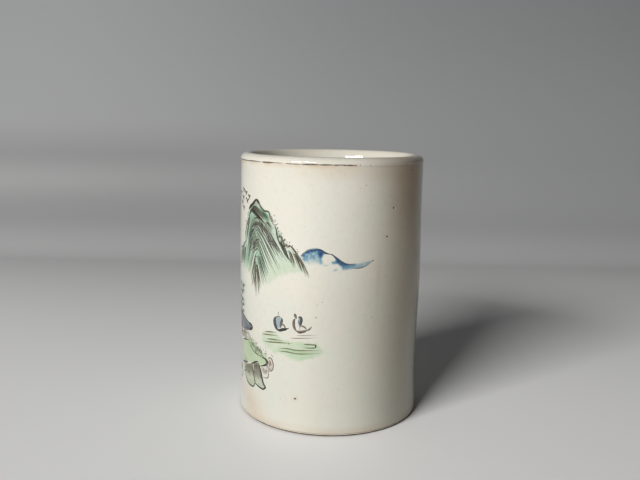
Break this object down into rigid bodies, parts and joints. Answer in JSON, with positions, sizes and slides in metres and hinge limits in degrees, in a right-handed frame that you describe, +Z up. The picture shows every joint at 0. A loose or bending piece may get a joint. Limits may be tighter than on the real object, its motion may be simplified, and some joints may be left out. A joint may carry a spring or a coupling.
{
  "type": "brush holder pot",
  "caption": "Straight round porcelain pot with a rolled lip and low foot ring, open at the top, that holds writing brushes upright.",
  "frame": {"origin": "centre of the foot ring's flat underside, on the surface that the pot stands on", "axes": "+Z up along the pot's axis; -Y is the front, between the painted mountain and the blank wall"},
  "size_m": [0.0882, 0.0882, 0.125],
  "materials": {
    "porcelain_paste": "fired, matte",
    "bare_paste": "bare, matte, stained by use",
    "clear_glaze": "gloss",
    "lip_glaze": "gloss"
  },
  "bodies": {
    "root": {"wall": "porcelain_paste", "base_slab": "porcelain_paste", "lip_ring": "porcelain_paste", "foot_ring": "bare_paste", "outer_glaze": "clear_glaze", "inner_glaze": "clear_glaze", "base_glaze": "clear_glaze", "lip_glaze": "lip_glaze"}
  },
  "joints": []
}
